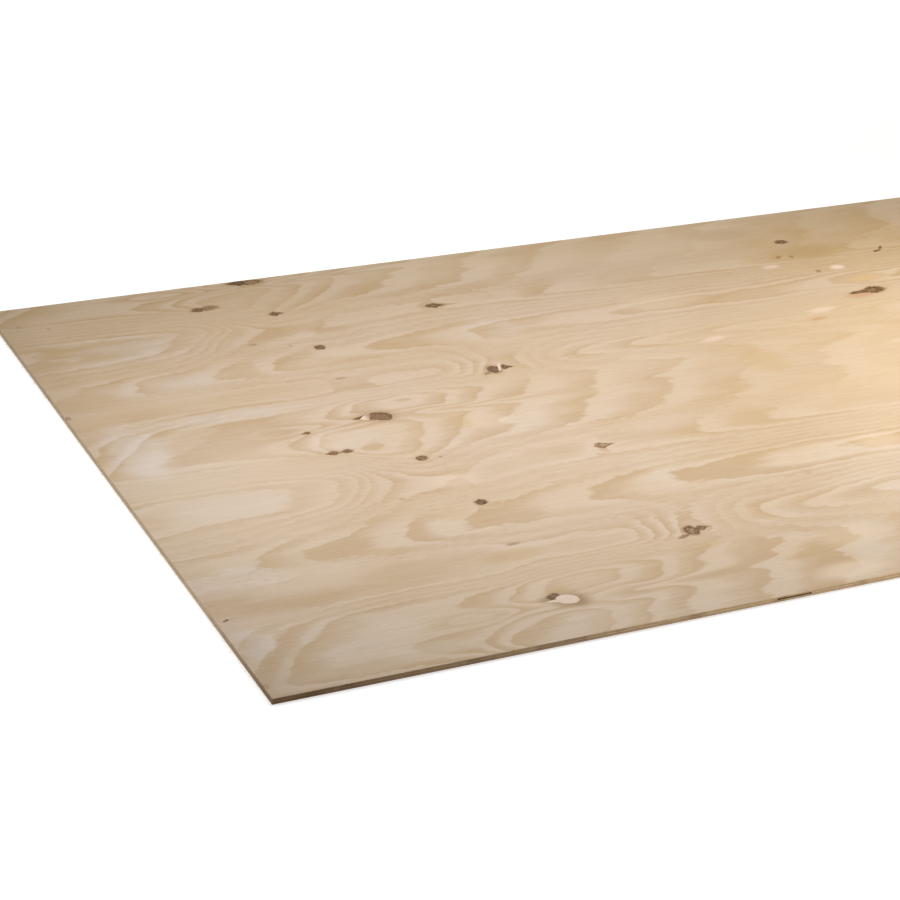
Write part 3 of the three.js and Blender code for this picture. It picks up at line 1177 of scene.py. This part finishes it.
    def stained(
        self, tree: NodeTree, spot: NodeSocket, wood: NodeSocket, stain: NodeSocket
    ) -> NodeSocket:
        """Lays the resin that a knot bled into the wood beside it.

        Args:
            tree: the material's tree.
            spot: the place on the veneer.
            wood: the colour so far.
            stain: how strongly the wood is stained, from 0 to 1.

        Returns:
            The stained colour.
        """
        blur = mottle(tree, spot, self.resin_cell, 2.0)
        uneven = add(tree, RANGE, blur, 0.3, 0.65, 0.15, 0.75)
        share = add(tree, Sum.MULTIPLY, stain, uneven)
        return add(tree, MIX, share, wood, self.resin, **BLEND)

    def checked(self, tree: NodeTree, spot: NodeSocket, dark: NodeSocket) -> NodeSocket:
        """Breaks a knot's colour up with specks and drying cracks.

        Args:
            tree: the material's tree.
            spot: the place on the veneer.
            dark: how dark the knot is.

        Returns:
            The darkness with the specks and cracks.
        """
        speck = mottle(tree, spot, self.speck_cell, 2.0)
        shade = add(tree, RANGE, speck, 0.32, 0.66, 0.5, 1.15)
        dark = add(tree, Sum.MULTIPLY, dark, shade)
        vein = mottle(tree, spot, self.crack_cell)
        vein = add(tree, Sum.SUBTRACT, vein, 0.5)
        vein = add(tree, Sum.ABSOLUTE, vein)
        crack = add(tree, RANGE, vein, 0.008, 0.03, 0.35, 0.0)
        crack = add(tree, Sum.MULTIPLY, crack, dark)
        return add(tree, Sum.ADD, dark, crack)


@dataclass(frozen=True)
class GluedVeneer:
    """Pine veneer inside the stack, pressed in glue.

    Its flats are stained brown by the glue, with the fibres showing through. They are seen only
    at the bottom of the open knothole. Its sides are sawn with the rest.
    """

    name: str
    node: str
    grain: Grain
    light: str = "#967656"
    dark: str = "#765a3f"
    fibre_length: float = 34.0
    fibre_width: float = 1.6
    smears: Blotches = Blotches("#634830", (9.0, 9.0, 9.0), (0.45, 0.65), 3.0, 0.35)
    roughness: float = 0.78
    relief: float = 0.15

    def material(self) -> Material:
        """Makes the material.

        Returns:
            The material.
        """
        material, tree, shader = new_material(self.name)
        place = place_in_mm(tree)
        along, across = self.fibre_length, self.fibre_width
        cell = (along, across, across) if self.grain is Grain.ALONG else (across, along, across)
        fibre = mottle(tree, place, cell, 3.0)
        share = add(tree, RANGE, fibre, 0.35, 0.65)
        flat = add(tree, MIX, share, self.light, self.dark, **BLEND)
        flat = self.smears.laid_on(tree, place, flat)
        side = facing(tree, "Side")
        edge = SawnEdge(self.grain).colour(tree, place, self.node)
        wood = add(tree, MIX, side, flat, edge, **BLEND)
        tree.links.new(wood, shader["Base Color"])
        shader["Roughness"].default_value = self.roughness
        relieve(tree, shader, fibre, self.relief)
        return material


@dataclass(frozen=True)
class PolyesterFiller:
    """Two-part polyester wood filler, knifed in and sanded flush.

    It is a pinkish cream paste, matt, with a few pinholes where air was trapped and with a
    faint cloudiness where the hardener was not quite mixed in. Where a filling broke, dirt has
    worked into the crumbled end: from one place to another, in millimetres from the left end.
    """

    name: str = "polyester wood filler, sanded"
    pink: str = "#e5cdbf"
    dirt: str = "#a2845f"
    clouds: Blotches = Blotches("#e0ceb2", (14.0, 9.0, 9.0), (0.42, 0.6), 2.0)
    pinholes: Blotches = Blotches("#b39b84", (0.9, 0.9, 0.9), (0.72, 0.78))
    scratch_cell: Triple = (16.0, 0.5, 1.0)
    crumb_cell: Triple = (2.5, 2.0, 2.0)
    crumb_reach: float = 6.0
    crumbled: Pair = (440.0, 449.0)
    roughness: float = 0.7
    relief: float = 0.08

    def material(self, broken: bool = False) -> Material:
        """Makes the material.

        Args:
            broken: whether the filling is a broken one, and dirty at its break.

        Returns:
            The material.
        """
        material, tree, shader = new_material(self.name)
        place = place_in_mm(tree)
        paste = self.clouds.laid_on(tree, place, self.pink)
        hole = self.pinholes.share(tree, place)
        paste = add(tree, MIX, hole, paste, self.pinholes.colour, **BLEND)
        if broken:
            x = add(tree, SPLIT, place, out="X")
            crumb = mottle(tree, place, self.crumb_cell, 2.0)
            x = add(tree, Sum.MULTIPLY_ADD, crumb, self.crumb_reach, x)
            share = add(tree, RANGE, x, *self.crumbled, 0.0, 0.9)
            paste = add(tree, MIX, share, paste, self.dirt, **BLEND)
        scratch = mottle(tree, place, self.scratch_cell, 1.0)
        height = add(tree, Sum.MULTIPLY_ADD, hole, -1.0, scratch)
        tree.links.new(paste, shader["Base Color"])
        shader["Roughness"].default_value = self.roughness
        relieve(tree, shader, height, self.relief)
        return material


@dataclass(frozen=True)
class TornPine:
    """Slivers of pine that the saw tore loose.

    They are clean inner wood, paler than the face round them, with the ends a little scorched.
    """

    name: str = "pine fibres, torn"
    clean: str = "#dcc6a4"
    scorched: Blotches = Blotches("#b08f66", (7.0, 7.0, 1.0), (0.4, 0.66), 2.0)
    roughness: float = 0.8

    def material(self) -> Material:
        """Makes the material.

        Returns:
            The material.
        """
        material, tree, shader = new_material(self.name)
        place = place_in_mm(tree)
        wood = self.scorched.laid_on(tree, place, self.clean)
        tree.links.new(wood, shader["Base Color"])
        shader["Roughness"].default_value = self.roughness
        return material


# ---------------------------------------------------------------- studio


@dataclass(frozen=True)
class Camera:
    """A long lens that looks down across the sheet from its near left corner.

    Its place is in metres and its angles are in degrees. The picture is square.
    """

    place: Triple = (-2.331, -3.095, 1.800)
    yaw: float = 28.28
    pitch: float = 27.52
    roll: float = 4.72
    focal_px: float = 2545.0
    frame_px: float = 900.0
    sensor_mm: float = 36.0

    def build(self) -> None:
        """Adds the camera and makes it the scene's own."""
        yaw, pitch, roll = (math.radians(a) for a in (self.yaw, self.pitch, self.roll))
        ahead = Vector(
            (math.sin(yaw) * math.cos(pitch), math.cos(yaw) * math.cos(pitch), -math.sin(pitch))
        )
        level = Vector((math.cos(yaw), -math.sin(yaw), 0.0))
        upright = level.cross(ahead)
        right = math.cos(roll) * level + math.sin(roll) * upright
        up = math.cos(roll) * upright - math.sin(roll) * level
        data = bpy.data.cameras.new("camera")
        data.sensor_width = self.sensor_mm
        data.lens = self.focal_px / self.frame_px * data.sensor_width
        camera = bpy.data.objects.new("camera", data)
        turn = Matrix((right, up, -ahead)).transposed().to_4x4()
        camera.matrix_world = Matrix.Translation(self.place) @ turn
        bpy.context.scene.collection.objects.link(camera)
        bpy.context.scene.camera = camera


@dataclass(frozen=True)
class SoftLamp:
    """A soft box, in metres and watts. It is not seen, and a fill is not mirrored in the sheet."""

    name: str
    place: Triple
    aim: Triple
    size: Pair
    power: float
    colour: str = "#ffffff"
    fill: bool = False

    def build(self) -> None:
        """Adds the lamp."""
        data = bpy.data.lights.new(self.name, "AREA")
        data.shape = "RECTANGLE"
        data.size, data.size_y = self.size
        data.energy = self.power
        data.color = linear(self.colour)[:3]
        lamp = bpy.data.objects.new(self.name, data)
        way = Vector(self.aim) - Vector(self.place)
        turn = way.to_track_quat("-Z", "Y").to_matrix().to_4x4()
        lamp.matrix_world = Matrix.Translation(self.place) @ turn
        lamp.visible_camera = False
        lamp.visible_glossy = not self.fill
        bpy.context.scene.collection.objects.link(lamp)


@dataclass(frozen=True)
class Studio:
    """The pale floor, the white surroundings, the lamps and the camera.

    The floor keeps the sheet's shadow close by, and glows out to plain white further off. Sizes
    are in metres.
    """

    floor_half: float = 12.0
    floor_drop: float = 0.0004
    floor_colour: str = "#e6e6e6"
    floor_roughness: float = 0.9
    near_glow: float = 0.55
    far_glow: float = 0.9
    glow_grows: Pair = (0.7, 1.6)
    # The glow's oval is twice as long as it is broad, like the sheet.
    glow_oval: Triple = (0.5, 1.0, 0.0)
    sky: float = 0.19
    lamps: tuple[SoftLamp, ...] = (
        SoftLamp("left top", (-0.74, 0.03, 0.73), (-0.74, 0.03, 0.0), (1.38, 1.03), 7.8),
        SoftLamp("right top", (0.575, -0.16, 0.85), (0.575, -0.16, 0.0), (0.3, 0.3), 10.3, "#fff7e0"),
        SoftLamp("front", (1.08, -1.9, 0.2), (0.0, -0.6, 0.0), (1.0, 0.3), 39.0, fill=True),
        SoftLamp("left", (-3.0, -0.41, 0.12), (-1.2, -0.41, 0.0), (1.2, 0.3), 19.7, fill=True),
    )

    def build(self) -> None:
        """Builds the studio."""
        self.floor()
        self.surroundings()
        for lamp in self.lamps:
            lamp.build()
        Camera().build()

    def floor(self) -> None:
        """Lays the floor."""
        mesh = bpy.data.meshes.new("floor")
        sheet = bmesh.new()
        half = self.floor_half
        corners = ((-half, -half), (half, -half), (half, half), (-half, half))
        sheet.faces.new([sheet.verts.new((x, y, -self.floor_drop)) for x, y in corners])
        sheet.to_mesh(mesh)
        sheet.free()
        floor = bpy.data.objects.new("floor", mesh)
        bpy.context.scene.collection.objects.link(floor)
        material, tree, shader = new_material("matt white studio floor")
        shader["Base Color"].default_value = linear(self.floor_colour)
        shader["Roughness"].default_value = self.floor_roughness
        spot = add(tree, "ShaderNodeTexCoord", out="Object")
        away = add(tree, Vec.MULTIPLY, spot, self.glow_oval)
        away = add(tree, Vec.LENGTH, away)
        glow = add(tree, RANGE, away, *self.glow_grows, self.near_glow, self.far_glow)
        seen = add(tree, "ShaderNodeLightPath", out="Is Camera Ray")
        glow = add(tree, Sum.MULTIPLY, seen, glow)
        shader["Emission Color"].default_value = linear(WHITE)
        tree.links.new(glow, shader["Emission Strength"])
        mesh.materials.append(material)

    def surroundings(self) -> None:
        """Makes the world white to the eye and a soft grey to the object."""
        world = bpy.data.worlds.new("studio")
        bpy.context.scene.world = world
        world.use_nodes = True
        tree = world.node_tree
        sky = next(n for n in tree.nodes if n.type == "BACKGROUND")
        sky.inputs["Color"].default_value = linear(WHITE)
        seen = add(tree, "ShaderNodeLightPath", out="Is Camera Ray")
        strength = add(tree, RANGE, seen, 0.0, 1.0, self.sky, 1.0)
        tree.links.new(strength, sky.inputs["Strength"])


# ---------------------------------------------------------------- the sheet


class Draw(Enum):
    """What each sliver draws by lot, with the number of its own stream of random numbers."""

    HEADING = 1
    SIDE = 2
    LEAN = 3
    DROOP = 4
    ROLL = 5
    SLIP = 6
    SINK = 7
    LENGTH = 8
    WIDTH = 9


@dataclass(frozen=True)
class TornFibres:
    """Slivers that a saw or a knife tore loose along an arris, and that hang on at one end.

    They lie along the grain and lean out over the arris. Sizes are in millimetres, and leans
    are in degrees.
    """

    spacing: float = 4.0
    shortest: float = 1.0
    longest: float = 5.0
    thickness: float = 0.2
    lean: float = 13.0
    droop: float = 7.0
    sunk: float = 0.13
    seed: int = 11
    # Where its free side lies as nearly square to a way as this, a sliver takes that way by lot.
    doubt: float = 0.3
    least_lean: float = 0.02
    sink_shares: Pair = (0.5, 1.6)
    width_shares: Pair = (0.6, 1.5)
    # Short slivers are far more common than long ones.
    length_power: float = 3.0
    # A sliver's shape: the points along it, how far its tip curls down, and how it thins out.
    line_points: int = 4
    curl: float = -0.8
    taper_from: float = 0.15
    tip_thickness: float = 0.12

    def sizes(self) -> dict[str, float]:
        """Gives the sizes that the tree takes, in metres and radians, by name."""
        return {
            "Spacing": self.spacing * MM,
            "Shortest": self.shortest * MM,
            "Longest": self.longest * MM,
            "Thickness": self.thickness * MM,
            "Lean": math.radians(self.lean),
            "Droop": math.radians(self.droop),
            "Sunk": self.sunk * MM,
        }

    def tree(self) -> NodeTree:
        """Builds the Geometry Nodes tree.

        Returns:
            A tree that turns arrises into slivers.
        """
        tree = bpy.data.node_groups.new("torn fibres", "GeometryNodeTree")
        kinds = {"Arrises": "Geometry", **dict.fromkeys(self.sizes(), "Float")}
        kinds |= {"Seed": "Int", "Finish": "Material"}
        for label, kind in kinds.items():
            tree.interface.new_socket(label, in_out="INPUT", socket_type=f"NodeSocket{kind}")
        tree.interface.new_socket("Slivers", in_out="OUTPUT", socket_type="NodeSocketGeometry")
        entry = tree.nodes.new("NodeGroupInput").outputs
        chance = partial(self.chance, tree, entry)

        path = add(tree, "GeometryNodeMeshToCurve", entry["Arrises"])
        points = add(
            tree, "GeometryNodeCurveToPoints", path, entry["Spacing"], mode="LENGTH", out="Points"
        )
        free = add(tree, ATTRIBUTE, "free", data_type="FLOAT_VECTOR")
        free_x = add(tree, SPLIT, free, out="X")
        free_y = add(tree, SPLIT, free, out="Y")
        heads_right = add(tree, Sum.ADD, free_x, chance(Draw.HEADING, -self.doubt, self.doubt))
        heads_right = add(tree, Sum.GREATER_THAN, heads_right, 0.0)
        heading = add(tree, MIX, heads_right, math.pi, 0.0)
        side = add(tree, Sum.ADD, free_y, chance(Draw.SIDE, -self.doubt, self.doubt))
        side = add(tree, Sum.SIGN, side)
        # To lean to the far side, one that heads right turns left, and one that heads left turns right.
        far_turn = add(tree, MIX, heads_right, -1.0, 1.0)
        side = add(tree, Sum.MULTIPLY, side, far_turn)
        lean = chance(Draw.LEAN, self.least_lean, entry["Lean"])
        yaw = add(tree, Sum.MULTIPLY_ADD, lean, side, heading)
        pitch = chance(Draw.DROOP, 0.0, entry["Droop"])
        roll = chance(Draw.ROLL, 0.0, math.tau)
        turn = add(tree, JOIN, roll, pitch, yaw)

        slip = chance(Draw.SLIP, 0.0, entry["Spacing"])
        along = add(tree, ATTRIBUTE, "along", data_type="FLOAT_VECTOR")
        slip = add(tree, Vec.SCALE, along, slip)
        sink = chance(Draw.SINK, *self.sink_shares)
        sink = add(tree, Sum.MULTIPLY, sink, entry["Sunk"])
        down = add(tree, JOIN, 0.0, 0.0, sink)
        offset = add(tree, Vec.SUBTRACT, slip, down)
        points = add(tree, "GeometryNodeSetPosition", points, None, None, offset)

        pick = chance(Draw.LENGTH, 0.0, 1.0)
        pick = add(tree, Sum.POWER, pick, self.length_power)
        length = add(tree, MIX, pick, entry["Shortest"], entry["Longest"])
        width = chance(Draw.WIDTH, *self.width_shares)
        width = add(tree, Sum.MULTIPLY, width, entry["Thickness"])
        size = add(tree, JOIN, length, width, width)
        one = self.sliver(tree)
        slivers = add(
            tree, "GeometryNodeInstanceOnPoints", points, None, one, None, None, turn, size
        )
        slivers = add(tree, "GeometryNodeRealizeInstances", slivers)
        slivers = add(tree, "GeometryNodeSetMaterial", slivers, None, entry["Finish"])
        return close_group(tree, {"Slivers": slivers})

    @staticmethod
    def chance(
        tree: NodeTree, entry: NodeOutputs, draw: Draw, low: float, high: float | NodeSocket
    ) -> NodeSocket:
        """Draws a random number for each sliver.

        Args:
            tree: the tree.
            entry: the tree's own inputs.
            draw: what it is for.
            low: the least value.
            high: the most.

        Returns:
            The number.
        """
        seed = add(tree, Sum.ADD, entry["Seed"], float(draw.value))
        return add(tree, "FunctionNodeRandomValue", low, high, None, seed, data_type="FLOAT")

    def sliver(self, tree: NodeTree) -> NodeSocket:
        """Makes one sliver: three-sided, curling down, and coming to a point.

        Args:
            tree: the tree.

        Returns:
            A mesh that is a unit long and a unit thick.
        """
        line = add(tree, "GeometryNodeCurvePrimitiveLine", (0.0, 0.0, 0.0), (1.0, 0.0, 0.0))
        line = add(tree, "GeometryNodeResampleCurve", line, None, self.line_points)
        share = add(tree, "GeometryNodeSplineParameter", out="Factor")
        curl = add(tree, Sum.MULTIPLY, share, share)
        curl = add(tree, Sum.MULTIPLY, curl, self.curl)
        curl = add(tree, JOIN, 0.0, 0.0, curl)
        line = add(tree, "GeometryNodeSetPosition", line, None, None, curl)
        taper = add(tree, RANGE, share, self.taper_from, 1.0, 1.0, self.tip_thickness)
        line = add(tree, "GeometryNodeSetCurveRadius", line, None, taper)
        section = add(tree, "GeometryNodeCurvePrimitiveCircle", 3)
        radius = section.node.inputs["Radius"]
        radius.default_value = 0.5
        mesh = add(tree, "GeometryNodeCurveToMesh", line, section)
        mesh.node.inputs["Fill Caps"].default_value = True
        return mesh

    def grow(self, name: str, arrises: Mesh, finish: Material) -> Object:
        """Grows the slivers along arrises.

        Args:
            name: what the piece is called.
            arrises: edges that carry the way to their free side and the way along them.
            finish: the slivers' material.

        Returns:
            A plain mesh object.
        """
        source = bpy.data.objects.new(name, arrises)
        bpy.context.scene.collection.objects.link(source)
        modifier = source.modifiers.new("torn fibres", "NODES")
        modifier.node_group = self.tree()
        values = {**self.sizes(), "Seed": self.seed, "Finish": finish}
        for socket in modifier.node_group.interface.items_tree:
            if socket.name in values:
                modifier[socket.identifier] = values[socket.name]
        shaped = source.evaluated_get(bpy.context.evaluated_depsgraph_get())
        mesh = bpy.data.meshes.new_from_object(shaped)
        source.modifiers.remove(modifier)
        source.data = mesh
        return source


@dataclass(frozen=True)
class PlywoodSheet:
    """The glued stack of veneers and its filler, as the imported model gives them."""

    weld_mm: float = 0.001
    face_fibres: TornFibres = TornFibres()
    back_fibres: TornFibres = TornFibres(droop=-2.0, sunk=-0.75, seed=43)

    def dress(self) -> None:
        """Gives every veneer and both pieces of filler their finish."""
        figure = LogFigure().build()
        filler = PolyesterFiller()
        back = PeeledPine(
            "rotary-cut pine veneer, rough back", "back_veneer", splits=CHECKS, turned_over=True
        )
        face = PeeledPine(
            "rotary-cut pine veneer, sanded face", "face_veneer", marks=MARKS, knot_marks=KNOT_MARKS
        )
        finishes = {
            "back_veneer": back.material(figure),
            "lower_cross_band": self.glued("lower_cross_band", Grain.ACROSS),
            "core_veneer": self.glued("core_veneer", Grain.ALONG),
            "upper_cross_band": self.glued("upper_cross_band", Grain.ACROSS),
            "face_veneer": face.material(figure),
            "filler_plug": filler.material(),
            "filler_chip": filler.material(broken=True),
        }
        for node, material in finishes.items():
            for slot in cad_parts[node].material_slots:
                slot.material = material
            log.info("%s: %s", node, material.name)

    def glued(self, node: str, grain: Grain) -> Material:
        """Makes the finish of a veneer inside the stack."""
        return GluedVeneer(f"pine veneer, glued, {node}", node, grain).material()

    def fray(self) -> None:
        """Grows the torn fibres along the arrises of the two outer veneers."""
        finish = TornPine().material()
        for name, node, slot, up, fibres in (
            ("face_fibres", "face_veneer", "face_wood", 1.0, self.face_fibres),
            ("back_fibres", "back_veneer", "back_wood", -1.0, self.back_fibres),
        ):
            piece = fibres.grow(name, self.arrises(node, up), finish)
            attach(piece, "root")
            log.info("%s: %d faces", name, len(piece.data.polygons))

    def arrises(self, node: str, up: float) -> Mesh:
        """Finds the sharp edges round a veneer's outer flat, its knotholes' rims included.

        Args:
            node: the veneer.
            up: 1 where its outer flat looks up, and -1 where it looks down.

        Returns:
            A mesh of loose edges, each with the way to its free side and the way along it.
        """
        solid = bmesh.new()
        solid.from_mesh(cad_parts[node].data)
        bmesh.ops.remove_doubles(solid, verts=solid.verts, dist=self.weld_mm * MM)
        ends, free, along = [], [], []
        for edge in solid.edges:
            flats = [f for f in edge.link_faces if f.normal.z * up > 0.9]
            sides = [f for f in edge.link_faces if abs(f.normal.z) < 0.1]
            if flats and sides:
                a, b = (v.co.copy() for v in edge.verts)
                ends += [a, b]
                free += [sides[0].normal.copy()] * 2
                along += [(b - a).normalized()] * 2
        solid.free()
        mesh = bpy.data.meshes.new(f"{node} arrises")
        mesh.from_pydata(ends, [(i, i + 1) for i in range(0, len(ends), 2)], [])
        for label, ways in (("free", free), ("along", along)):
            layer = mesh.attributes.new(label, "FLOAT_VECTOR", "POINT")
            for item, way in zip(layer.data, ways):
                item.vector = way
        return mesh


def main() -> None:
    """Builds everything in order."""
    logging.basicConfig(level=logging.INFO, format="%(name)s: %(message)s")
    bpy.context.scene.view_settings.view_transform = "Standard"
    Studio().build()
    sheet = PlywoodSheet()
    sheet.dress()
    sheet.fray()


if __name__ == "__main__":
    main()
